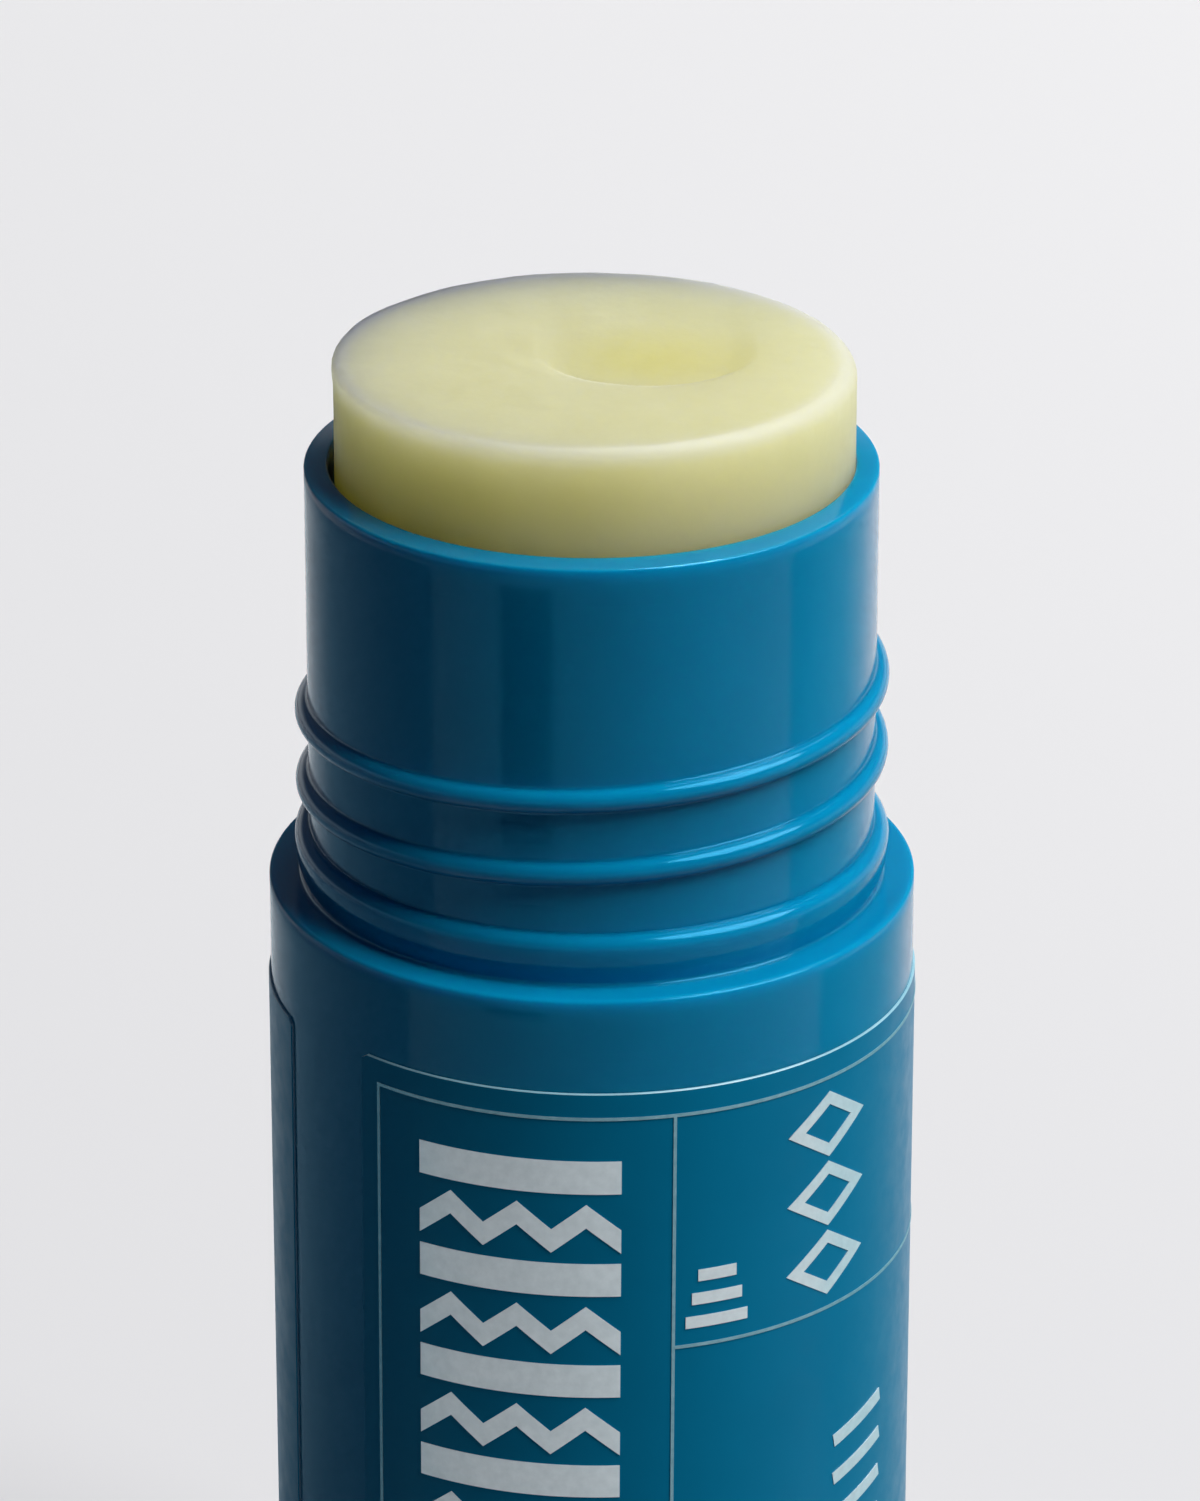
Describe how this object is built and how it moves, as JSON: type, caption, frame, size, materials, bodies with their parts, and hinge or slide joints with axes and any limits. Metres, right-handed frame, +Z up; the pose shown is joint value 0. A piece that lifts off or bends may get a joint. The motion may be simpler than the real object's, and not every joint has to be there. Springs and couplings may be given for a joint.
{
  "type": "twist-up lip balm",
  "caption": "Chunky twist-up lip balm stick: blue moulded tube with a screw-threaded neck, pale yellow balm raised out of it, wrap-round label and a ribbed dial at the foot.",
  "frame": {"origin": "centre of the dial's flat bottom, on the tube's axis", "axes": "+Z up along the tube towards the balm, -Y out of the label's front, +X to the right as one faces the label"},
  "size_m": [0.0256, 0.0256, 0.0712],
  "materials": {
    "tube_plastic": "satin moulded",
    "elevator_plastic": "natural moulded",
    "balm": "soft wax, slightly translucent",
    "label_film": "thin satin film",
    "label_ink": "printed"
  },
  "bodies": {
    "tube": {"tube_body": "tube_plastic", "label_film": "label_film", "label_print": "label_ink"},
    "dial": {"twist_dial": "tube_plastic"},
    "lift": {"elevator_cup": "elevator_plastic", "balm_stick": "balm"}
  },
  "joints": [
    {"name": "dial_turn", "type": "hinge", "parent": "tube", "child": "dial", "pos_m": [0, 0, 0.0045], "axis": [0, 0, -1], "range_deg": [-520, 3440]},
    {"name": "balm_rise", "type": "slide", "parent": "tube", "child": "lift", "axis": [0, 0, 1], "range_m": [-0.0058, 0.0383]}
  ],
  "couplings": [
    {"joint": "balm_rise", "follows": "dial_turn", "m_per_rad": 0.00063662}
  ]
}
